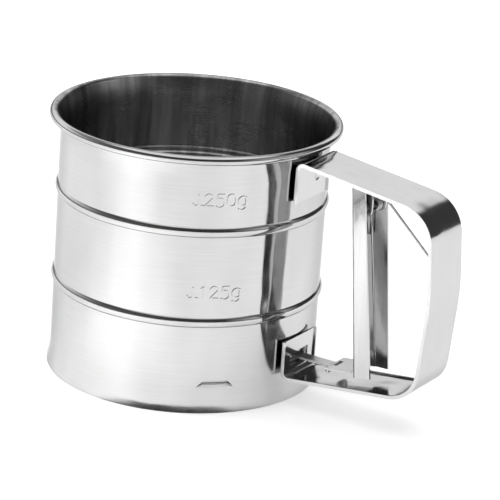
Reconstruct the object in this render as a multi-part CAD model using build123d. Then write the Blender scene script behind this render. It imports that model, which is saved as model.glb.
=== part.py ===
"""Hand-held flour sifter: a stainless cup with a strip handle, a sprung trigger and a swinging agitator.

Frame: origin on the cup's axis at the plane of its base, +X towards the handle's grip, +Z up. Millimetres.
"""

from build123d import *
from math import acos, asin, cos, degrees, radians, sin, sqrt, tan
import os

# ---- Fits ----
running_gap = 0.06
seat_gap = 0.05
cut_over = 1.0

# ---- Cup ----
cup_radius = 48.3
cup_sheet = 0.6
ridge_heights = (33.6, 66.7)
ridge_half_width = 1.9
ridge_rise = 0.9
rim_radius = 52.4
rim_curl_height = 93.4
rim_curl_bore = 1.0
rim_flare_radius = 30.0
rim_curl_end_angle = -115.0
base_flare_height = 8.0
base_flare_rise = 1.1
base_hem_height = 2.6
base_hem_thickness = 1.4
base_edge_round = 0.3

# ---- Tabs that carry the screen: tongues of the wall pushed in below a slit ----
tab_angles = (-43.2, 76.8, 196.8)
tab_top = 11.0
tab_root = 9.3
tab_push = 1.7
tab_top_length = 10.4
tab_root_length = 13.8
slit_height = 0.9

# ---- Capacity marks, raised on the wall ----
mark_angle = -46.1
mark_heights = {"250g": 76.3, "125g": 42.6}
mark_rise = 0.32
glyph_height = 4.3
glyph_width = 3.2
glyph_pitch = 3.95
glyph_stroke = 0.5

# ---- Screen, bridge and centre pin ----
screen_rim_outer = 47.4
screen_rim_inner = 44.8
screen_rim_height = 1.8
screen_radius = 46.6
screen_thickness = 0.4
screen_play = 0.02
lock_ring_radius = 46.95
lock_ring_wire = 1.2
lock_ring_gap_angle = 24.0
bridge_width = 10.0
bridge_sheet = 1.0
bridge_drop = 0.35
bridge_foot_height = 6.5
bridge_bend = 2.4
pin_radius = 2.0
pin_head_radius = 3.6
pin_head_height = 1.6
washer_radius = 4.2
washer_thickness = 0.45
bush_radius = 3.5

# ---- Agitator ----
loop_wire = 1.0
loop_lift = 0.3
loop_root = 4.4
loop_root_half_width = 1.9
loop_shoulder = 32.0
loop_tip = 43.4
loop_tip_half_width = 7.5
loop_shoulder_radius = 40.0
loop_corner_radius = 6.5
loop_count = 4
hub_sheet = 0.8
hub_radius = 8.5
hub_arm_half_width = 3.4
lug_radius_from_axis = 14.0
lug_radius = 1.5
lug_tenon_radius = 1.2
lug_head_radius = 2.6
lug_head_height = 0.9
lug_head_lift = 1.0

# ---- Handle: a strip with turned-in lips ----
strip_width = 21.8
strip_sheet = 0.7
strip_depth = 1.3
flange_seat = 0.15
upper_flange_bottom = 75.0
upper_arm_at_wall = 90.4
upper_arm_slope = -7.5
lower_flange_top = 23.3
lower_arm_at_wall = 8.9
lower_arm_slope = 6.15
grip_top = 102.6
grip_middle = 105.2
grip_middle_height = 52.0
grip_bottom = 102.2
wall_bend_radius = 3.0
upper_corner_radius = 13.9
lower_corner_radius = 12.4
grip_bow_radius = 90.0
drive_slot_width = 12.0
drive_slot_bottom = 13.2
drive_slot_top = 17.8
dimple_depth = 0.4
dimple_ball = 3.4
dimple_place = (3.2, 82.0)

# ---- Trigger: sizes about the pivot, before it leans ----
pivot_x = 73.4
pivot_z = 77.6
trigger_lean = 6.2
trigger_travel = 9.0
trigger_sheet = 0.8
trigger_web_x = -4.35
trigger_edge_x = 2.1
trigger_top = 7.6
trigger_foot = -61.2
trigger_top_widths = (12.8, 16.4)
trigger_foot_widths = (15.9, 13.8)
trigger_corner_radius = 1.2
trigger_bottom_bend = 1.5
tongue_half_width = 6.6
tongue_reach = -15.7
tongue_rise = 0.7
knuckle_height = 0.5
knuckle_radius = 1.0
knuckle_pin_radius = 0.55
knuckle_notch_half = 2.6
pivot_pin_radius = 1.0
pivot_pin_half_length = 7.5
ear_sheet = 0.8
ear_face = 5.3
ear_radius = 3.0
spring_wire = 0.9
spring_coil_radius = 1.95
spring_turns = 3.25
spring_pitch = 0.98
spring_side = 2.4
spring_leg_apex = (5.4, 3.1)
spring_leg_end = (30.0, -19.3)
spring_short_leg = 12.0
spring_leg_bend = 0.9

# ---- Drive link ----
link_sheet = 0.8
link_width = 4.6
link_neck_turn = 24.0
link_eye_radius = 3.6
link_lug_straight = 3.0
link_bends = (5.0, 2.5)
lug_slot_play = 0.4

# ---- Derived: the cup's rim ----
wall_inner = cup_radius - cup_sheet
rim_curl_radius = rim_curl_bore + cup_sheet
rim_curl_centre = rim_radius - rim_curl_radius
flare_centre_x = cup_radius + rim_flare_radius
flare_angle = degrees(acos((flare_centre_x - rim_curl_centre) / (rim_flare_radius - rim_curl_bore)))
flare_start = rim_curl_height - (rim_flare_radius - rim_curl_bore) * sin(radians(flare_angle))

# ---- Derived: heights of the parts stacked on the tabs ----
screen_rim_bottom = tab_top + seat_gap
screen_rim_top = screen_rim_bottom + screen_rim_height
screen_bottom = screen_rim_bottom + (screen_rim_height - screen_thickness) / 2
screen_top = screen_bottom + screen_thickness
bridge_top = screen_rim_bottom - bridge_drop
bridge_bottom = bridge_top - bridge_sheet
hub_bottom = screen_top + loop_lift + loop_wire
hub_top = hub_bottom + hub_sheet
washer_bottom = hub_top + seat_gap
washer_top = washer_bottom + washer_thickness

# ---- Derived: the handle's inner faces ----
flange_face = cup_radius + flange_seat
flange_front = flange_face + strip_sheet


def from_pivot(x, z, angle):
    """A point given from the trigger's pivot, turned so that a positive angle swings the foot outward."""
    a = radians(angle)
    return (pivot_x + x * cos(a) - z * sin(a), pivot_z + x * sin(a) + z * cos(a))


# ---- Derived: the hinge at the tongue's end, and how far the trigger turns the agitator ----
knuckle_x = tongue_reach
knuckle_z = trigger_foot + knuckle_height
hinge_x, hinge_z = from_pivot(knuckle_x, knuckle_z, trigger_lean)
pulled_x, pulled_z = from_pivot(knuckle_x, knuckle_z, trigger_lean + trigger_travel)
link_pull = pulled_x - hinge_x
lug_half_swing = degrees(asin(link_pull / 2 / lug_radius_from_axis))
lug_angle = 90 + lug_half_swing
lug_x = lug_radius_from_axis * cos(radians(lug_angle))
lug_y = lug_radius_from_axis * sin(radians(lug_angle))
link_bottom = hinge_z - link_sheet / 2
link_top = link_bottom + link_sheet


def profile(edges):
    """A closed face in the XZ plane from edges drawn in XY."""
    return Plane.XZ * make_face(edges)


def cylinder(radius, bottom, top, x=0.0, y=0.0):
    """An upright cylinder between two heights."""
    return Pos(x, y, bottom) * Cylinder(radius, top - bottom, align=(Align.CENTER, Align.CENTER, Align.MIN))


def ring(outer, inner, bottom, top):
    return cylinder(outer, bottom, top) - cylinder(inner, bottom - cut_over, top + cut_over)


def block(x, y, z):
    """A box between pairs of limits."""
    size = (x[1] - x[0], y[1] - y[0], z[1] - z[0])
    middle = ((x[0] + x[1]) / 2, (y[0] + y[1]) / 2, (z[0] + z[1]) / 2)
    return Pos(*middle) * Box(*size)


def cross_bar(radius, y, x, z):
    """A cylinder along Y between two limits, through a point of the XZ plane."""
    return Pos(x, (y[0] + y[1]) / 2, z) * Rot(90, 0, 0) * Cylinder(radius, y[1] - y[0])


def cross_pin(radius, half_length, x, z):
    return cross_bar(radius, (-half_length, half_length), x, z)


def radial_plane(distance):
    """A plane facing +X, drawn with Y across and Z up."""
    return Plane((distance, 0, 0), x_dir=(0, 1, 0), z_dir=(1, 0, 0))


# ---- Cup ----
def wall_edges(depth):
    """One face of the cup's wall, from base to curl end, at a depth in from the outer face."""
    edges = []
    base = cup_radius + base_flare_rise - depth
    face = cup_radius - depth
    middle = cup_radius + base_flare_rise / 4 - depth
    edges.append(ThreePointArc((base, 0), (middle, base_flare_height / 2), (face, base_flare_height)))
    start = base_flare_height
    chord = ridge_half_width - depth / 2
    crest = face + ridge_rise
    for height in ridge_heights:
        edges.append(Line((face, start), (face, height - chord)))
        edges.append(ThreePointArc((face, height - chord), (crest, height), (face, height + chord)))
        start = height + chord
    edges.append(Line((face, start), (face, flare_start)))
    flare = rim_flare_radius + depth
    end_x = flare_centre_x - flare * cos(radians(flare_angle))
    end_z = flare_start + flare * sin(radians(flare_angle))
    half_x = flare_centre_x - flare * cos(radians(flare_angle / 2))
    half_z = flare_start + flare * sin(radians(flare_angle / 2))
    edges.append(ThreePointArc((face, flare_start), (half_x, half_z), (end_x, end_z)))
    curl = rim_curl_bore + depth
    last = radians(rim_curl_end_angle)
    curl_end = (rim_curl_centre + curl * cos(last), rim_curl_height + curl * sin(last))
    over = radians((180 - flare_angle + rim_curl_end_angle) / 2)
    curl_top = (rim_curl_centre + curl * cos(over), rim_curl_height + curl * sin(over))
    edges.append(ThreePointArc((end_x, end_z), curl_top, curl_end))
    return edges


def cup_shell():
    """The beaded wall with its rolled rim and the hem folded up inside the base."""
    outside = wall_edges(0)
    inside = wall_edges(cup_sheet)
    foot = Line(inside[0] @ 0, outside[0] @ 0)
    lip = Line(outside[-1] @ 1, inside[-1] @ 1)
    shell = revolve(profile(outside + [lip] + inside + [foot]), Axis.Z, 360)
    hem_outer = cup_radius + base_flare_rise - cup_sheet / 2
    hem_inner = hem_outer - base_hem_thickness
    hem_shoulder = cup_radius + (base_flare_rise - cup_sheet) / 2
    hem_top = base_hem_height
    hem_corners = [(hem_outer, 0), (hem_inner, 0), (hem_inner, hem_top), (hem_shoulder, hem_top)]
    hem_section = make_face(Polyline(*hem_corners, close=True))
    inner_corners = hem_section.vertices().sort_by(Axis.X)[0:2]
    hem_section = fillet(inner_corners, base_edge_round)
    return shell + revolve(Plane.XZ * hem_section, Axis.Z, 360)


def tab_outline(top):
    """The tab seen from outside, wider at its root than at its top."""
    spread = (tab_root_length - tab_top_length) / 2 * (top - tab_top) / (tab_top - tab_root)
    half_top = tab_top_length / 2 - spread
    half_root = tab_root_length / 2
    corners = [(-half_root, tab_root), (half_root, tab_root), (half_top, top), (-half_top, top)]
    outline = make_face(Polyline(*corners, close=True))
    depth = tab_push + 2 * cut_over + cup_sheet
    return extrude(radial_plane(wall_inner - tab_push - cut_over) * outline, depth)


def tab_plate():
    """A band of the wall that leans inward from its root up to the tab's top edge."""
    corners = [
        (wall_inner, tab_root - cup_sheet),
        (cup_radius, tab_root - cup_sheet),
        (cup_radius, tab_root),
        (cup_radius - tab_push, tab_top),
        (wall_inner - tab_push, tab_top),
    ]
    half_angle = degrees(asin(tab_root_length / 2 / cup_radius))
    band = revolve(profile(Polyline(*corners, close=True)), Axis.Z, 2 * half_angle)
    return Rot(0, 0, -half_angle) * band


def tab_hinge():
    """The strip of wall just under the tab, which the plate's root runs into."""
    half = tab_root_length / 2
    depth = (wall_inner - cut_over, cup_radius + cut_over)
    return block(depth, (-half, half), (tab_root - cup_sheet, tab_root))


def glyph_strokes():
    """The strokes of each symbol, in a cell that is one wide and one high; three points make an arc."""
    return {
        "1": [[(0.25, 0.8), (0.55, 1.0)], [(0.55, 1.0), (0.55, 0.0)]],
        "2": [
            [(0.05, 0.75), (0.5, 1.0), (0.9, 0.68)],
            [(0.9, 0.68), (0.05, 0.0)],
            [(0.05, 0.0), (1.0, 0.0)],
        ],
        "5": [
            [(0.95, 1.0), (0.2, 1.0)],
            [(0.2, 1.0), (0.15, 0.6)],
            [(0.15, 0.6), (0.95, 0.35), (0.05, 0.03)],
        ],
        "0": [
            [(0.05, 0.4), (0.05, 0.6)],
            [(0.05, 0.6), (0.5, 1.0), (0.95, 0.6)],
            [(0.95, 0.6), (0.95, 0.4)],
            [(0.95, 0.4), (0.5, 0.0), (0.05, 0.4)],
        ],
        "g": [
            [(0.9, 0.7), (0.05, 0.4), (0.9, 0.12)],
            [(0.9, 0.8), (0.9, -0.12)],
            [(0.9, -0.12), (0.5, -0.34), (0.08, -0.22)],
        ],
        "!": [
            [(0.6, 0.95), (0.6, 0.2)],
            [(0.6, 0.2), (0.32, 0.0), (0.02, 0.22)],
            [(0.85, 0.03), (1.2, 0.03)],
        ],
    }


def glyph(symbol):
    """One symbol's strokes as a flat sketch."""
    flat = Sketch()
    for points in glyph_strokes()[symbol]:
        placed = [(u * glyph_width, v * glyph_height) for u, v in points]
        line = ThreePointArc(*placed) if len(placed) == 3 else Line(*placed)
        flat = flat + trace(line, line_width=glyph_stroke)
    return flat


def raised_mark(text, height):
    """Raised strokes on the wall, each figure turned to face outward; "!" is the level mark."""
    symbols = "!" + text
    skin_limits = (height - glyph_height, height + 2 * glyph_height)
    skin = ring(cup_radius + mark_rise, cup_radius - cup_sheet / 2, *skin_limits)
    plane = Plane((wall_inner - cut_over, 0, height), x_dir=(0, 1, 0), z_dir=(1, 0, 0))
    marks = []
    for place, symbol in enumerate(symbols):
        across = (place - (len(symbols) - 1) / 2) * glyph_pitch
        solid = extrude(plane * Pos(-glyph_width / 2, 0, 0) * glyph(symbol), 2 * cut_over + cup_sheet)
        marks.append(Rot(0, 0, mark_angle + degrees(across / cup_radius)) * solid & skin)
    return marks


def drive_slot():
    """The opening in the wall and the lower flange that the link runs through."""
    half = drive_slot_width / 2
    depth = (wall_inner - 2 * cut_over, flange_front + cut_over)
    return block(depth, (-half, half), (drive_slot_bottom, drive_slot_top))


def cup_body():
    body = cup_shell()
    for angle in tab_angles:
        body = body - Rot(0, 0, angle) * tab_outline(tab_top + slit_height)
        body = body + Rot(0, 0, angle) * (tab_plate() & tab_outline(tab_top) + tab_hinge())
    body = body - drive_slot()
    for text, height in mark_heights.items():
        for mark in raised_mark(text, height):
            body = body + mark
    return body


# ---- Screen ----
def screen_rim():
    """A channel folded round the mesh's edge, open inward."""
    solid = ring(screen_rim_outer, screen_rim_inner, screen_rim_bottom, screen_rim_top)
    groove_limits = (screen_bottom - screen_play, screen_top + screen_play)
    groove = ring(screen_radius + screen_play, screen_rim_inner - cut_over, *groove_limits)
    return solid - groove


def screen_mesh():
    return ring(screen_radius, pin_radius + running_gap, screen_bottom, screen_top)


def lock_ring():
    """A sprung wire hoop, open at the back, that keeps the screen down on its tabs."""
    height = screen_rim_top + screen_play + lock_ring_wire / 2
    section = Plane.XZ * Pos(lock_ring_radius, height) * Circle(lock_ring_wire / 2)
    return Rot(0, 0, 180 + lock_ring_gap_angle / 2) * revolve(section, Axis.Z, 360 - lock_ring_gap_angle)


def bridge_bar():
    """A strap across the base with its ends bent down against the wall."""
    reach = sqrt(wall_inner**2 - (bridge_width / 2) ** 2) - seat_gap
    low = bridge_top - bridge_foot_height
    corners = ((-reach, low), (-reach, bridge_top), (reach, bridge_top), (reach, low))
    outer = FilletPolyline(*corners, radius=bridge_bend)
    band = make_face(offset(outer, amount=bridge_sheet, side=Side.RIGHT))
    strap = Rot(0, 0, 90) * extrude(Plane.XZ * band, bridge_width / 2, both=True)
    return strap - cylinder(pin_radius + running_gap / 2, 0, bridge_top + cut_over)


def centre_pin():
    """The pivot that the agitator turns on: a headed pin, peened under the bridge."""
    head_round = pin_head_height / 2
    peen_bottom = bridge_bottom - seat_gap / 2 - pin_head_height
    peen = cylinder(pin_head_radius, peen_bottom, bridge_bottom - seat_gap / 2)
    peen = fillet(peen.edges().group_by(Axis.Z)[0], head_round)
    head_bottom = washer_top + seat_gap
    head = cylinder(pin_head_radius, head_bottom, head_bottom + pin_head_height)
    head = fillet(head.edges().group_by(Axis.Z)[-1], head_round)
    shank = cylinder(pin_radius, peen_bottom + head_round, head_bottom + head_round)
    return shank + peen + head


def lower_spacer():
    return ring(washer_radius, pin_radius + running_gap / 2, bridge_top, screen_bottom)


def hub_washer():
    return ring(washer_radius, pin_radius + running_gap / 2, washer_bottom, washer_top)


# ---- Agitator ----
def agitator_hub():
    """A round plate with an arm that carries the drive lug."""
    plate = cylinder(hub_radius, hub_bottom, hub_top)
    arm = block((0, lug_radius_from_axis), (-hub_arm_half_width, hub_arm_half_width), (hub_bottom, hub_top))
    arm = arm + cylinder(hub_arm_half_width, hub_bottom, hub_top, lug_radius_from_axis)
    plate = plate + Rot(0, 0, lug_angle) * arm
    plate = plate - cylinder(pin_radius + running_gap, hub_bottom - cut_over, hub_top + cut_over)
    return plate - cylinder(lug_tenon_radius, hub_bottom - cut_over, hub_top + cut_over, lug_x, lug_y)


def hub_bush():
    """A sleeve under the hub that keeps the loops clear of the mesh."""
    return ring(bush_radius, pin_radius + running_gap, screen_top + 2 * seat_gap, hub_bottom)


def drive_lug():
    """A stepped rivet: its small end is peened in the hub, its headed end stands in the link's eye."""
    head_bottom = link_top + lug_head_lift
    head_top = head_bottom + lug_head_height
    tenon = cylinder(lug_tenon_radius, hub_bottom, hub_top, lug_x, lug_y)
    post = cylinder(lug_radius, hub_top, head_bottom + lug_head_height / 2, lug_x, lug_y)
    head = cylinder(lug_head_radius, head_bottom, head_top, lug_x, lug_y)
    head = fillet(head.edges().group_by(Axis.Z)[-1], lug_head_height / 2)
    return tenon + post + head


def agitator_loop(number):
    """A long wire loop lying just above the mesh, with both ends under the hub."""
    path = FilletPolyline(
        (loop_root, -loop_root_half_width),
        (loop_shoulder, -loop_tip_half_width),
        (loop_tip, -loop_tip_half_width),
        (loop_tip, loop_tip_half_width),
        (loop_shoulder, loop_tip_half_width),
        (loop_root, loop_root_half_width),
        radius=[loop_shoulder_radius, loop_corner_radius, loop_corner_radius, loop_shoulder_radius],
    )
    wire = sweep(Plane(path @ 0, z_dir=path % 0) * Circle(loop_wire / 2), path)
    turn = lug_angle + 45 + 360 / loop_count * number
    return Pos(0, 0, hub_bottom - loop_wire / 2) * Rot(0, 0, turn) * wire


# ---- Handle ----
def strip_path():
    """The handle's outer line in the XZ plane, from the upper flange round the grip to the lower flange."""
    upper_corner = upper_arm_at_wall + (grip_top - flange_face) * tan(radians(upper_arm_slope))
    lower_corner = lower_arm_at_wall + (grip_bottom - flange_face) * tan(radians(lower_arm_slope))
    corners = (
        (flange_face, upper_flange_bottom),
        (flange_face, upper_arm_at_wall),
        (grip_top, upper_corner),
        (grip_middle, grip_middle_height),
        (grip_bottom, lower_corner),
        (flange_face, lower_arm_at_wall),
        (flange_face, lower_flange_top),
    )
    grip_radii = [upper_corner_radius, grip_bow_radius, lower_corner_radius]
    return FilletPolyline(*corners, radius=[wall_bend_radius, *grip_radii, wall_bend_radius])


def strip_band(depth, half_width):
    """The strip's line thickened inward, as a slab about the XZ plane."""
    band = make_face(offset(strip_path(), amount=depth, side=Side.RIGHT))
    return extrude(Plane.XZ * band, half_width, both=True)


def weld_dimple():
    """The ball that leaves a shallow round dent where the upper flange is spot-welded to the wall."""
    y, z = dimple_place
    return Pos(flange_front + dimple_ball - dimple_depth, y, z) * Sphere(dimple_ball)


def handle():
    """A shallow channel: a thin web with a lip turned in along each edge."""
    half = strip_width / 2
    lips = strip_band(strip_depth, half) - strip_band(strip_depth + cut_over, half - strip_sheet)
    return strip_band(strip_sheet, half) + lips - weld_dimple() - drive_slot()


# ---- Trigger ----
def placed_on_trigger(shape):
    """Moves a shape drawn about the trigger's pivot to its place and lean."""
    return Pos(pivot_x, 0, pivot_z) * Rot(0, -trigger_lean, 0) * shape


def channel_section(height, widths, inset, overrun):
    """The channel's plan at one height: widths across its web and across its free edges."""
    web_half, edge_half = widths[0] / 2 - inset, widths[1] / 2 - inset
    web_x = trigger_web_x + inset
    flare = (edge_half - web_half) / (trigger_edge_x - web_x)
    end_half = edge_half + flare * overrun
    end_x = trigger_edge_x + overrun
    corners = [(web_x, -web_half), (web_x, web_half), (end_x, end_half), (end_x, -end_half)]
    return Pos(0, 0, height) * make_face(Polyline(*corners, close=True))


def channel_solid(inset, overrun, round_radius):
    """The channel's outside, or with an inset its hollow, rounded along the web's two corners."""
    foot = channel_section(trigger_foot, trigger_foot_widths, inset, overrun)
    top = channel_section(trigger_top, trigger_top_widths, inset, overrun)
    solid = loft([foot, top], ruled=True)
    long_edges = solid.edges().filter_by(lambda edge: edge.length > trigger_top - trigger_foot - cut_over)
    return fillet(long_edges.group_by(Axis.X)[0], round_radius)


def tongue():
    """The foot of the web bent towards the cup, its end rolled under round the hinge pin."""
    plate_bottom = trigger_foot + tongue_rise
    plate_top = plate_bottom + trigger_sheet
    across = (-tongue_half_width, tongue_half_width)
    plate = block((knuckle_x, trigger_web_x + trigger_sheet), across, (plate_bottom, plate_top))
    knuckle = cross_bar(knuckle_radius, across, knuckle_x, knuckle_z)
    fold_x = trigger_web_x - trigger_bottom_bend
    fold_z = plate_top + trigger_bottom_bend
    fold = block((fold_x, trigger_web_x + trigger_sheet / 2), across, (plate_top - seat_gap, fold_z))
    fold = fold - cross_pin(trigger_bottom_bend, tongue_half_width + cut_over, fold_x, fold_z)
    notch = (-knuckle_notch_half, knuckle_notch_half)
    notch_x = (knuckle_x - 2 * knuckle_radius, knuckle_x + 2 * knuckle_radius)
    body = plate + knuckle + fold
    body = body - block(notch_x, notch, (trigger_foot - cut_over, knuckle_z + 2 * knuckle_radius))
    return body - cross_pin(knuckle_pin_radius, tongue_half_width + cut_over, knuckle_x, knuckle_z)


def trigger():
    """A pressed channel, its web towards the cup, open towards the grip, with a tongue at its foot."""
    hollow = channel_solid(trigger_sheet, cut_over, trigger_corner_radius - trigger_sheet)
    across = (-tongue_half_width, tongue_half_width)
    below_tongue = (trigger_foot - cut_over, trigger_foot + tongue_rise)
    web_end = block((trigger_web_x - cut_over, trigger_web_x + trigger_sheet), across, below_tongue)
    body = channel_solid(0, 0, trigger_corner_radius) - hollow - web_end + tongue()
    body = body - cross_pin(pivot_pin_radius + running_gap, trigger_top_widths[1], 0, 0)
    return placed_on_trigger(body)


def pivot_bracket():
    """A small clevis under the upper arm, whose two ears hold the pivot pin."""
    arm_under = upper_arm_at_wall + (pivot_x - flange_face) * tan(radians(upper_arm_slope))
    rise = arm_under - strip_sheet / cos(radians(upper_arm_slope)) - pivot_z
    side_rise = rise + ear_radius
    base = block((-ear_radius, ear_radius), (-ear_face, ear_face), (rise - 2 * ear_sheet, side_rise))
    ear = block((-ear_radius, ear_radius), (-ear_face, ear_sheet - ear_face), (0, side_rise))
    side = ear + cross_bar(ear_radius, (-ear_face, ear_sheet - ear_face), 0, 0)
    body = base + side + mirror(side, Plane.XZ)
    body = body - cross_pin(pivot_pin_radius, ear_face + cut_over, 0, 0)
    room = 4 * ear_radius
    above_arm = Rot(0, -upper_arm_slope, 0) * block((-room, room), (-room, room), (-seat_gap / 2, room))
    above_arm = Pos(0, 0, rise) * above_arm
    return Pos(pivot_x, 0, pivot_z) * (body - above_arm)


def pivot_pin():
    return cross_pin(pivot_pin_radius, pivot_pin_half_length, pivot_x, pivot_z)


def sweep_wire(points):
    """A wire through the points, with a ball at its first end to join it to the coil."""
    path = FilletPolyline(*points, radius=spring_leg_bend)
    section = Plane(path @ 0, z_dir=path % 0) * Circle(spring_wire / 2)
    return sweep(section, path) + Pos(*points[0]) * Sphere(spring_wire / 2)


def torsion_spring():
    """Close turns about the pivot pin, a short leg down the trigger's web and a long leg out to the grip."""
    length = spring_pitch * spring_turns
    helix = Helix(spring_pitch, length, spring_coil_radius, lefthand=True)
    section = Plane(helix @ 0, z_dir=helix % 0) * Circle(spring_wire / 2)
    coil = sweep(section, helix)
    near, far = spring_side - length / 2, spring_side + length / 2
    coil = Pos(0, far, 0) * Rot(90, 0, 0) * Rot(0, 0, 180) * coil
    web_line = trigger_web_x + trigger_sheet + spring_wire / 2 + 2 * seat_gap
    lean = radians(trigger_lean)
    leg_x = web_line * cos(lean) + spring_short_leg * sin(lean)
    coil_end = (-spring_coil_radius, far, 0)
    knee = (-spring_coil_radius, far, -spring_wire)
    short_leg = sweep_wire([coil_end, knee, (leg_x, far, -spring_short_leg)])
    apex = (spring_leg_apex[0], near, spring_leg_apex[1])
    end = (spring_leg_end[0], near, spring_leg_end[1])
    long_leg = sweep_wire([(0, near, spring_coil_radius), apex, end])
    return Pos(pivot_x, 0, pivot_z) * (coil + short_leg + long_leg)


# ---- Drive link ----
def drive_link():
    """A flat bar hinged on the tongue, led through the wall to an eye for the agitator's lug."""
    straight_end = (lug_x + link_lug_straight, lug_y)
    corners = ((hinge_x, 0), (link_neck_turn, 0), straight_end, (lug_x, lug_y))
    line = FilletPolyline(*corners, radius=link_bends)
    body = extrude(Pos(0, 0, link_bottom) * trace(line, line_width=link_width), link_sheet)
    body = body + cylinder(link_eye_radius, link_bottom, link_top, lug_x, lug_y)
    side_travel = lug_radius_from_axis - lug_y
    eye = SlotCenterToCenter(side_travel + lug_slot_play, 2 * (lug_radius + lug_slot_play), rotation=90)
    eye = Pos(lug_x, lug_y + side_travel / 2, link_bottom - cut_over) * eye
    body = body - extrude(eye, link_sheet + 2 * cut_over)
    body = body + cross_pin(knuckle_radius, link_width / 2, hinge_x, hinge_z)
    return body - cross_pin(knuckle_pin_radius + running_gap, link_width, hinge_x, hinge_z)


def link_pin():
    return cross_pin(knuckle_pin_radius, tongue_half_width, hinge_x, hinge_z)


os.makedirs("parts", exist_ok=True)
nodes = {
    "cup_body": cup_body(),
    "screen_rim": screen_rim(),
    "screen_mesh": screen_mesh(),
    "lock_ring": lock_ring(),
    "bridge_bar": bridge_bar(),
    "centre_pin": centre_pin(),
    "lower_spacer": lower_spacer(),
    "hub_washer": hub_washer(),
    "agitator_hub": agitator_hub(),
    "hub_bush": hub_bush(),
    "drive_lug": drive_lug(),
    "handle": handle(),
    "trigger": trigger(),
    "pivot_bracket": pivot_bracket(),
    "pivot_pin": pivot_pin(),
    "torsion_spring": torsion_spring(),
    "drive_link": drive_link(),
    "link_pin": link_pin(),
}
for number in range(loop_count):
    nodes[f"agitator_loop_{number + 1}"] = agitator_loop(number)

for name, shape in nodes.items():
    export_step(shape, f"parts/{name}.step")

print(f"hinge at {hinge_x:.3f}, {hinge_z:.3f}, pulled to {pulled_x:.3f}, {pulled_z:.3f}")
print(f"hub height {hub_bottom:.3f}; agitator swing {2 * lug_half_swing:.3f}")
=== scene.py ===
"""Studio picture of the flour sifter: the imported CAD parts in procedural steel.

The screen is replaced by woven wire cloth, and the torsion spring by a coil and a short leg.
"""

from math import cos, pi, radians, sin, sqrt

import bpy
import numpy as np
from mathutils import Matrix, Vector


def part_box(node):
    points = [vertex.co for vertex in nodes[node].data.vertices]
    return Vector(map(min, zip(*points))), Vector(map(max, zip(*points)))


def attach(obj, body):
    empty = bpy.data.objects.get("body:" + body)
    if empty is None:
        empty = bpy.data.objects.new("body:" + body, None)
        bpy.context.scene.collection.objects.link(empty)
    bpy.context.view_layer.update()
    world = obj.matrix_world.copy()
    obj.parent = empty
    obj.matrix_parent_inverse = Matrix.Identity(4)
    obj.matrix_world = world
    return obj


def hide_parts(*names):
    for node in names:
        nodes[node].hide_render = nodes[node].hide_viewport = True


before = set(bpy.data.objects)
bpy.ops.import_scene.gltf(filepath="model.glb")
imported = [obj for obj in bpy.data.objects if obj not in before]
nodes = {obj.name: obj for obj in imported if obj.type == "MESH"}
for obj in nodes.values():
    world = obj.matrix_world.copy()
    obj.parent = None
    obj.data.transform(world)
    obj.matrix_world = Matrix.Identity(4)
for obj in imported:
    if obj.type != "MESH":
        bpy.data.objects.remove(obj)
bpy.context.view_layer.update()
MM = 0.001

# ---- Camera, as fitted to the picture ----
CAMERA_AZIMUTH = radians(30.7)
CAMERA_ELEVATION = radians(19.26)
CAMERA_DISTANCE = 1.05
CAMERA_ROLL = radians(4.157)
CAMERA_LENS = 209.3
CAMERA_SENSOR = 36
CAMERA_CLIP = (0.05, 50)
AIM_HEIGHT = 0.0475
AIM_RIGHT = 0.0220
AIM_DOWN = 0.0040


def new_object(name, data):
    obj = bpy.data.objects.new(name, data)
    bpy.context.scene.collection.objects.link(obj)
    return obj


def make_camera():
    """The camera looks past the cup's axis, because the cup stands left of the picture's middle."""
    level = cos(CAMERA_ELEVATION)
    across, away = sin(CAMERA_AZIMUTH), -cos(CAMERA_AZIMUTH)
    back = Vector((across * level, away * level, sin(CAMERA_ELEVATION)))
    right = Vector((cos(CAMERA_AZIMUTH), sin(CAMERA_AZIMUTH), 0))
    up = back.cross(right)
    rolled_right = cos(CAMERA_ROLL) * right + sin(CAMERA_ROLL) * up
    rolled_up = cos(CAMERA_ROLL) * up - sin(CAMERA_ROLL) * right
    aim = Vector((0, 0, AIM_HEIGHT)) + rolled_right * AIM_RIGHT - rolled_up * AIM_DOWN
    data = bpy.data.cameras.new("studio_camera")
    data.lens = CAMERA_LENS
    data.sensor_width = CAMERA_SENSOR
    data.clip_start, data.clip_end = CAMERA_CLIP
    camera = new_object("studio_camera", data)
    axes = Matrix((rolled_right, rolled_up, back)).transposed()
    camera.matrix_world = Matrix.Translation(aim + back * CAMERA_DISTANCE) @ axes.to_4x4()
    bpy.context.scene.camera = camera


make_camera()


# ---- Materials ----
EDGE_TINT = 0.62
SMUDGE_SCALE = 35.0
WAVE_SCALE = 75.0
GRAIN_IN_GLOSS = 0.8
GRAIN_RELIEF = 0.5
GRAIN_RELIEF_INSIDE = 0.1
DULL_INSIDE = 0.16
PATCH_SCALE = 42.0
PATCH_STRETCH = (1, 1, 0.3)
PATCH_TONE = (0.88, 1.02)
# Painted shade on the cup's inside: upright streaks that darken the faces looking towards the axis.
SHADE_STREAK_SCALE = 11.0
SHADE_STREAK_STRETCH = (0, 0, 1.6)
SHADE_STREAK_TONE = (0.35, 1.0)


def node_input(node, name, value):
    node.inputs[name].default_value = value


def grey(value):
    return (value, value, value, 1)


def noise(tree, vector, scale, detail, roughness=0.5, distortion=0.0):
    """The value of a noise texture over a vector."""
    node = tree.nodes.new("ShaderNodeTexNoise")
    node_input(node, "Scale", scale)
    node_input(node, "Detail", detail)
    node_input(node, "Roughness", roughness)
    node_input(node, "Distortion", distortion)
    tree.links.new(vector, node.inputs["Vector"])
    return node.outputs["Fac"]


def rescaled(tree, value, before, after):
    """A value carried from one range to another and kept inside it."""
    node = tree.nodes.new("ShaderNodeMapRange")
    node_input(node, "From Min", before[0])
    node_input(node, "From Max", before[1])
    node_input(node, "To Min", after[0])
    node_input(node, "To Max", after[1])
    tree.links.new(value, node.inputs["Value"])
    return node.outputs["Result"]


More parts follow.
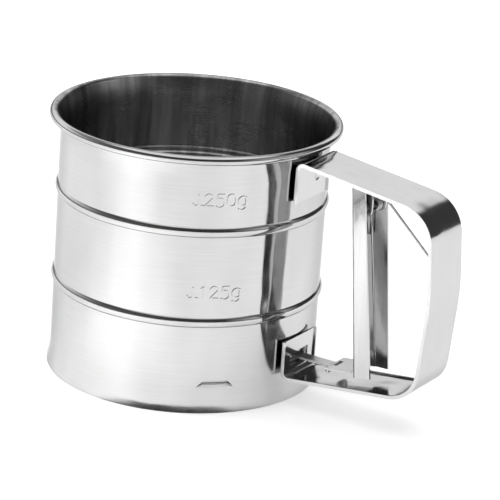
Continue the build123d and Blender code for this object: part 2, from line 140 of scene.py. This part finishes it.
def stretched(tree, vector, scale):
    node = tree.nodes.new("ShaderNodeMapping")
    node_input(node, "Scale", scale)
    tree.links.new(vector, node.inputs["Vector"])
    return node.outputs["Vector"]


def scaled_sum(tree, value, factor, base):
    """value * factor + base"""
    node = tree.nodes.new("ShaderNodeMath")
    node.operation = "MULTIPLY_ADD"
    tree.links.new(value, node.inputs[0])
    node_input(node, 1, factor)
    tree.links.new(base, node.inputs[2])
    return node.outputs["Value"]


def bump(tree, height, strength, distance):
    node = tree.nodes.new("ShaderNodeBump")
    node_input(node, "Strength", strength)
    node_input(node, "Distance", distance)
    tree.links.new(height, node.inputs["Height"])
    return node


def steel(name, light, dark, rough, grain, relief_height, anisotropy=0.0, turn=0.0, wave=0.0):
    """Steel with a fine grain and soft smudges in its gloss.

    The grain is noise drawn out along the axes with small scales. The pressing's slight
    unevenness is a slow wave of the given height.
    """
    material = bpy.data.materials.new(name)
    material.use_nodes = True
    tree = material.node_tree
    link = tree.links.new
    shader = tree.nodes["Principled BSDF"]
    node_input(shader, "Metallic", 1.0)
    node_input(shader, "Anisotropic", anisotropy)
    node_input(shader, "Anisotropic Rotation", turn)
    node_input(shader, "Specular Tint", (EDGE_TINT,) * 3 + (1,))
    place = tree.nodes.new("ShaderNodeTexCoord").outputs["Object"]
    drawn_out = stretched(tree, place, grain)
    lines = noise(tree, drawn_out, scale=1.0, detail=4.0, roughness=0.6)
    smudges = noise(
        tree, place, scale=SMUDGE_SCALE, detail=5.0, roughness=0.55, distortion=0.6
    )
    gloss = rescaled(tree, smudges, (0.35, 0.7), rough)
    streaked = scaled_sum(tree, lines, (rough[1] - rough[0]) * GRAIN_IN_GLOSS, gloss)
    link(streaked, shader.inputs["Roughness"])
    tone = tree.nodes.new("ShaderNodeMix")
    tone.data_type = "RGBA"
    node_input(tone, "A", grey(dark))
    node_input(tone, "B", grey(light))
    link(lines, tone.inputs["Factor"])
    link(tone.outputs["Result"], shader.inputs["Base Color"])
    relief = bump(tree, lines, strength=GRAIN_RELIEF, distance=relief_height)
    link(relief.outputs["Normal"], shader.inputs["Normal"])
    if wave:
        slow = noise(tree, place, scale=WAVE_SCALE, detail=1.0)
        uneven = bump(tree, slow, strength=1.0, distance=wave)
        link(uneven.outputs["Normal"], relief.inputs["Normal"])
    if anisotropy:
        along = tree.nodes.new("ShaderNodeTangent")
        along.direction_type = "RADIAL"
        along.axis = "Z"
        link(along.outputs["Tangent"], shader.inputs["Tangent"])
    return material


# Scales of the grain along X, Y and Z.
SPUN = (60, 60, 2600)
ACROSS_STRIP = (40, 2200, 40)
ALONG_TRIGGER = (1400, 2200, 30)
FINE = (900, 900, 900)
LENGTHWISE = (60, 2400, 2400)

polished = steel(
    "polished_steel", 0.66, 0.56, (0.05, 0.12), SPUN, 1.2e-6, anisotropy=0.7, turn=0.25, wave=2.0e-4
)
pressed = steel("pressed_steel", 0.70, 0.60, (0.06, 0.14), ACROSS_STRIP, 2.0e-6, wave=6.0e-4)
trigger_steel = steel(
    "trigger_steel", 0.62, 0.52, (0.08, 0.18), ALONG_TRIGGER, 2.5e-6, wave=4.0e-4
)
plain = steel("plain_steel", 0.60, 0.50, (0.16, 0.30), LENGTHWISE, 3.0e-6)
turned = steel("turned_steel", 0.66, 0.56, (0.12, 0.24), SPUN, 2.0e-6)
pin_steel = steel("pin_steel", 0.44, 0.36, (0.24, 0.40), FINE, 1.5e-6)
spring_steel = steel("spring_wire", 0.58, 0.46, (0.12, 0.26), FINE, 1.5e-6)
drawn = steel("drawn_wire", 0.66, 0.54, (0.14, 0.26), FINE, 1.5e-6)
mesh_steel = steel("steel_mesh", 0.58, 0.46, (0.18, 0.32), FINE, 1.0e-6)


def outward_bearing(tree, place):
    """The level direction from the cup's axis."""
    outward = tree.nodes.new("ShaderNodeVectorMath")
    outward.operation = "MULTIPLY"
    node_input(outward, 1, (1, 1, 0))
    tree.links.new(place.outputs["Object"], outward.inputs[0])
    bearing = tree.nodes.new("ShaderNodeVectorMath")
    bearing.operation = "NORMALIZE"
    tree.links.new(outward.outputs["Vector"], bearing.inputs[0])
    return bearing.outputs["Vector"]


def facing_inward(tree, place, bearing):
    """1 where a face looks towards the cup's axis and 0 where it looks outward."""
    facing = tree.nodes.new("ShaderNodeVectorMath")
    facing.operation = "DOT_PRODUCT"
    tree.links.new(bearing, facing.inputs[0])
    tree.links.new(place.outputs["Normal"], facing.inputs[1])
    return rescaled(tree, facing.outputs["Value"], (0.05, -0.05), (0, 1))


def use_on_cup(material):
    """Handling patches on the cup's outside, and a duller inside with painted shade in upright
    streaks.
    """
    tree = material.node_tree
    make, link = tree.nodes.new, tree.links.new
    shader = tree.nodes["Principled BSDF"]
    place = make("ShaderNodeTexCoord")
    bearing = outward_bearing(tree, place)
    inside = facing_inward(tree, place, bearing)
    upright = make("ShaderNodeVectorMath")
    upright.operation = "MULTIPLY_ADD"
    node_input(upright, 1, SHADE_STREAK_STRETCH)
    link(place.outputs["Object"], upright.inputs[0])
    link(bearing, upright.inputs[2])
    shade_streak_place = upright.outputs["Vector"]
    streaks = noise(tree, shade_streak_place, scale=SHADE_STREAK_SCALE, detail=4.0, roughness=0.6)
    # Painted shade: the inside's colour is darkened in upright streaks.
    shade_streak_tone = rescaled(tree, streaks, (0.3, 0.7), SHADE_STREAK_TONE)
    patch_place = stretched(tree, place.outputs["Object"], PATCH_STRETCH)
    patches = noise(tree, patch_place, scale=PATCH_SCALE, detail=2.0, roughness=0.45)
    patch_tone = rescaled(tree, patches, (0.35, 0.65), PATCH_TONE)
    # Inward-facing faces take the painted shade, outward-facing faces the handling patches.
    shade = make("ShaderNodeMix")
    link(inside, shade.inputs["Factor"])
    link(patch_tone, shade.inputs["A"])
    link(shade_streak_tone, shade.inputs["B"])
    colour = make("ShaderNodeVectorMath")
    colour.operation = "SCALE"
    link(shader.inputs["Base Color"].links[0].from_socket, colour.inputs[0])
    link(shade.outputs["Result"], colour.inputs["Scale"])
    link(colour.outputs["Vector"], shader.inputs["Base Color"])
    relief = shader.inputs["Normal"].links[0].from_node
    strength = rescaled(tree, inside, (0, 1), (GRAIN_RELIEF, GRAIN_RELIEF_INSIDE))
    link(strength, relief.inputs["Strength"])
    outside_gloss = shader.inputs["Roughness"].links[0].from_socket
    link(scaled_sum(tree, inside, DULL_INSIDE, outside_gloss), shader.inputs["Roughness"])


use_on_cup(polished)

FINISH = {
    "cup_body": polished,
    "handle": pressed,
    "pivot_bracket": pressed,
    "trigger": trigger_steel,
    "drive_link": plain,
    "screen_rim": plain,
    "bridge_bar": plain,
    "agitator_hub": plain,
    "lock_ring": spring_steel,
    "centre_pin": turned,
    "pivot_pin": pin_steel,
    "link_pin": pin_steel,
    "drive_lug": turned,
    "hub_washer": turned,
    "lower_spacer": turned,
    "hub_bush": turned,
    "agitator_loop_1": drawn,
    "agitator_loop_2": drawn,
    "agitator_loop_3": drawn,
    "agitator_loop_4": drawn,
}
for name, material in FINISH.items():
    slots = nodes[name].data.materials
    slots.clear()
    slots.append(material)


# ---- Wires ----
def tube(points, radius, sides, start_index):
    """Vertices and faces of a closed tube along points that never run straight up."""
    points = np.asarray(points, float)
    along = np.gradient(points, axis=0)
    along /= np.linalg.norm(along, axis=1)[:, None]
    side = np.cross(along, (0.0, 0.0, 1.0))
    side /= np.linalg.norm(side, axis=1)[:, None]
    up = np.cross(side, along)
    angles = np.arange(sides) * 2 * pi / sides
    rings = points[:, None] + radius * (
        np.cos(angles)[None, :, None] * side[:, None] + np.sin(angles)[None, :, None] * up[:, None]
    )
    count = len(points)
    first = np.arange(count - 1)[:, None] * sides + start_index
    here = first + np.arange(sides)
    there = first + (np.arange(sides) + 1) % sides
    quads = np.stack([here, there, there + sides, here + sides], axis=-1).reshape(-1, 4)
    last = start_index + (count - 1) * sides
    first_cap = list(range(start_index + sides - 1, start_index - 1, -1))
    last_cap = list(range(last, last + sides))
    return rings.reshape(-1, 3), quads.tolist() + [first_cap, last_cap]


def wire_mesh(name, lines, radius, sides):
    """One mesh made of a tube along each line."""
    vertices, faces = [], []
    for line in lines:
        ring_vertices, ring_faces = tube(line, radius, sides, sum(len(v) for v in vertices))
        vertices.append(ring_vertices)
        faces += ring_faces
    data = bpy.data.meshes.new(name)
    data.from_pydata(np.concatenate(vertices).tolist(), [], faces)
    data.polygons.foreach_set("use_smooth", [True] * len(data.polygons))
    data.update()
    return new_object(name, data)


# ---- Woven screen ----
MESH_PITCH = 1.25 * MM
MESH_WIRE = 0.2 * MM
MESH_SAMPLES = 4
MESH_SIDES = 5
MESH_HOLE = 2.3 * MM


def woven_line(offset, half_length, phase):
    """A wire that passes over and under its neighbours, along X at one Y."""
    steps = max(2, int(2 * half_length / MESH_PITCH * MESH_SAMPLES))
    x = np.linspace(-half_length, half_length, steps + 1)
    z = MESH_WIRE / 2 * np.cos(pi * x / MESH_PITCH + phase)
    return np.stack([x, np.full_like(x, offset), z], axis=1)


def woven_screen():
    """Plain-woven wire cloth, cut to the screen's disc, with a hole for the centre pin."""
    low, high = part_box("screen_mesh")
    radius = (high.x - low.x) / 2 - MESH_WIRE
    middle = (low.z + high.z) / 2
    count = int(radius / MESH_PITCH)
    lines = []
    for place in range(-count, count + 1):
        offset = place * MESH_PITCH
        half = sqrt(radius**2 - offset**2)
        for turned_wire in (False, True):
            line = woven_line(offset, half, pi * (place + int(turned_wire)))
            if turned_wire:
                line = line[:, (1, 0, 2)]
            line[:, 2] += middle
            if abs(offset) > MESH_HOLE:
                lines.append(line)
                continue
            reach = np.hypot(line[:, 0], line[:, 1])
            run = 1 if turned_wire else 0
            for sign in (-1, 1):
                lines.append(line[(reach > MESH_HOLE) & (np.sign(line[:, run]) == sign)])
    screen = wire_mesh("woven_screen", lines, MESH_WIRE / 2, MESH_SIDES)
    screen.data.materials.append(mesh_steel)
    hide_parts("screen_mesh")
    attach(screen, "cup")


woven_screen()


# ---- Torsion spring: the line of its wire, from the pivot pin's axis, as in the CAD ----
PIVOT = Vector((73.4, 0, 77.6)) * MM
SPRING_WIRE = 0.9 * MM
COIL_RADIUS = 1.95 * MM
COIL_PITCH = 0.98 * MM
COIL_TURNS = 3.25
COIL_MIDDLE = 2.4 * MM
LEG_APEX = (5.4 * MM, 3.1 * MM)
LEG_END = (30.0 * MM, -19.3 * MM)
SHORT_LEG_FOOT = (-1.686 * MM, -12.0 * MM)
COIL_STEPS = 40
SPRING_SIDES = 14
LONG_LEG_BEND = 0.9 * MM
SHORT_LEG_BEND = 0.5 * MM
SHORT_LEG_LEAD = 0.1 * MM


def rounded(corners, radius, steps=8):
    """Points along straight runs whose corners are arcs."""
    corners = [Vector(c) for c in corners]
    points = [corners[0]]
    for before, corner, after in zip(corners, corners[1:], corners[2:]):
        to_before, to_after = (before - corner).normalized(), (after - corner).normalized()
        half = to_before.angle(to_after) / 2
        cut = radius / np.tan(half)
        centre = corner + (to_before + to_after).normalized() * (radius / sin(half))
        start = (corner + to_before * cut - centre).normalized()
        end = (corner + to_after * cut - centre).normalized()
        for step in range(steps + 1):
            points.append(centre + start.slerp(end, step / steps) * radius)
    points.append(corners[-1])
    return points


def side_tube(name, points, radius):
    """A tube along points that never run along Y."""
    swapped = [(p[0], p[2], p[1]) for p in points]
    obj = wire_mesh(name, [swapped], radius, SPRING_SIDES)
    for vertex in obj.data.vertices:
        vertex.co = (vertex.co.x, vertex.co.z, vertex.co.y)
    obj.data.flip_normals()
    return obj


def torsion_spring():
    """The coil and long leg stay with the handle; the short leg turns with the trigger."""
    length = COIL_PITCH * COIL_TURNS
    far, near = COIL_MIDDLE + length / 2, COIL_MIDDLE - length / 2
    coil = []
    total = int(COIL_STEPS * COIL_TURNS)
    for step in range(total + 1):
        angle = pi - 2 * pi * COIL_TURNS * step / total
        y = far - length * step / total
        coil.append(Vector((COIL_RADIUS * cos(angle), y, COIL_RADIUS * sin(angle))))
    top = (0, near, COIL_RADIUS)
    apex = (LEG_APEX[0], near, LEG_APEX[1])
    end = (LEG_END[0], near, LEG_END[1])
    long_leg = rounded([top, apex, end], LONG_LEG_BEND)
    line = [PIVOT + Vector(p) for p in coil[:-1] + long_leg]
    spring = side_tube("spring_coil", line, SPRING_WIRE / 2)
    start = (-COIL_RADIUS, far, SHORT_LEG_LEAD)
    knee = (-COIL_RADIUS, far, -SPRING_WIRE)
    foot = (SHORT_LEG_FOOT[0], far, SHORT_LEG_FOOT[1])
    line = [PIVOT + Vector(p) for p in rounded([start, knee, foot], SHORT_LEG_BEND)]
    leg = side_tube("spring_short_leg", line, SPRING_WIRE / 2)
    for piece, body in ((spring, "cup"), (leg, "trigger")):
        piece.data.materials.append(spring_steel)
        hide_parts("torsion_spring")
        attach(piece, body)


torsion_spring()


# ---- Floor ----
FLOOR_GLOW = 0.5
FLOOR_PAINT = 0.9
FLOOR_HALF = 9
FLOOR_DROP = 0.2 * MM


def floor():
    """A wide pale floor that glows a little, as a light table does, so that shadows stay soft."""
    material = bpy.data.materials.new("floor_paint")
    material.use_nodes = True
    tree = material.node_tree
    shader = tree.nodes["Principled BSDF"]
    node_input(shader, "Roughness", 0.9)
    node_input(shader, "Specular IOR Level", 0.1)
    node_input(shader, "Base Color", grey(FLOOR_PAINT))
    node_input(shader, "Emission Color", grey(1))
    node_input(shader, "Emission Strength", FLOOR_GLOW)
    data = bpy.data.meshes.new("floor")
    corners = [(FLOOR_HALF * x, FLOOR_HALF * y, 0) for x, y in ((-1, -1), (1, -1), (1, 1), (-1, 1))]
    data.from_pydata(corners, [], [(0, 1, 2, 3)])
    obj = new_object("floor", data)
    obj.location.z = -FLOOR_DROP
    data.materials.append(material)


def ramp(tree, source, stops):
    """A colour ramp of greys over a value."""
    node = tree.nodes.new("ShaderNodeValToRGB")
    elements = node.color_ramp.elements
    while len(elements) < len(stops):
        elements.new(0.5)
    for element, (position, value) in zip(elements, stops):
        element.position = position
        element.color = grey(value)
    tree.links.new(source, node.inputs["Fac"])
    return node.outputs["Color"]


# ---- Room light ----
# A bearing runs from the camera's side (0) by its left to the backdrop (0.5), and by its right
# back to 1. A height runs from level (0) to straight up (1).
ROOM_DARK = 0.05
BACKDROP_BY_BEARING = [
    (0.0, 0.0),
    (0.22, 0.1),
    (0.36, 0.9),
    (0.50, 1.0),
    (0.585, 1.0),
    (0.605, 0.0),
    (0.69, 0.0),
    (0.74, 0.45),
    (0.82, 0.45),
    (0.90, 0.0),
]
BACKDROP_BY_HEIGHT = [
    (0.0, 0.1),
    (0.12, 0.2),
    (0.20, 0.9),
    (0.40, 1.0),
    (0.50, 0.9),
    (0.60, 0.3),
    (1.0, 0.1),
]
BACKDROP_LIGHT = 1.25
CEILING_BY_HEIGHT = [(0.0, 0.0), (0.78, 0.0), (0.88, 1.0), (1.0, 1.0)]


def studio_air():
    """The room by direction: a light backdrop and ceiling in a dark room."""
    world = bpy.data.worlds.new("studio_air")
    world.use_nodes = True
    tree = world.node_tree
    air = tree.nodes["Background"]
    node_input(air, "Strength", 1.0)
    place = tree.nodes.new("ShaderNodeTexCoord")
    turn = tree.nodes.new("ShaderNodeMapping")
    turn.vector_type = "POINT"
    node_input(turn, "Rotation", (0, 0, -CAMERA_AZIMUTH))
    tree.links.new(place.outputs["Generated"], turn.inputs["Vector"])
    parts = tree.nodes.new("ShaderNodeSeparateXYZ")
    tree.links.new(turn.outputs["Vector"], parts.inputs["Vector"])
    bearing = tree.nodes.new("ShaderNodeMath")
    bearing.operation = "ARCTAN2"
    tree.links.new(parts.outputs["X"], bearing.inputs[0])
    tree.links.new(parts.outputs["Y"], bearing.inputs[1])
    share = rescaled(tree, bearing.outputs["Value"], (-pi, pi), (0, 1))
    across = ramp(tree, share, BACKDROP_BY_BEARING)
    upward = ramp(tree, parts.outputs["Z"], BACKDROP_BY_HEIGHT)
    lit = tree.nodes.new("ShaderNodeMath")
    lit.operation = "MULTIPLY"
    tree.links.new(across, lit.inputs[0])
    tree.links.new(upward, lit.inputs[1])
    light = rescaled(tree, lit.outputs["Value"], (0, 1), (ROOM_DARK, BACKDROP_LIGHT))
    ceiling = ramp(tree, parts.outputs["Z"], CEILING_BY_HEIGHT)
    total = tree.nodes.new("ShaderNodeMath")
    tree.links.new(light, total.inputs[0])
    tree.links.new(ceiling, total.inputs[1])
    tree.links.new(total.outputs["Value"], air.inputs["Color"])
    bpy.context.scene.world = world


def overhead(name, azimuth, distance, height, size, spread, power):
    """A lamp that looks straight down from an azimuth counted from the camera's.

    It lights the floor but isn't mirrored in the steel.
    """
    data = bpy.data.lights.new(name, "AREA")
    data.shape = "RECTANGLE"
    data.size, data.size_y = size
    data.spread = radians(spread)
    data.energy = power
    obj = new_object(name, data)
    turn = CAMERA_AZIMUTH + radians(azimuth)
    obj.location = (sin(turn) * distance, -cos(turn) * distance, height)
    obj.rotation_euler.z = turn
    obj.visible_glossy = False


# Name, azimuth, distance from the cup's axis, height, size, spread and power.
LAMPS = [
    ("top_light", 180, 0.15, 1.6, (2.4, 2.4), 160, 7.4),
    ("front_fill", 60, 0.50, 1.0, (0.8, 0.8), 110, 0.2),
    ("left_wash", -115, 0.45, 1.0, (0.5, 0.5), 80, 0.6),
    ("left_strip", -45, 0.20, 0.7, (0.10, 0.30), 14, 0.1),
]


def studio():
    studio_air()
    bpy.context.scene.view_settings.view_transform = "Standard"
    floor()
    for lamp in LAMPS:
        overhead(*lamp)


studio()
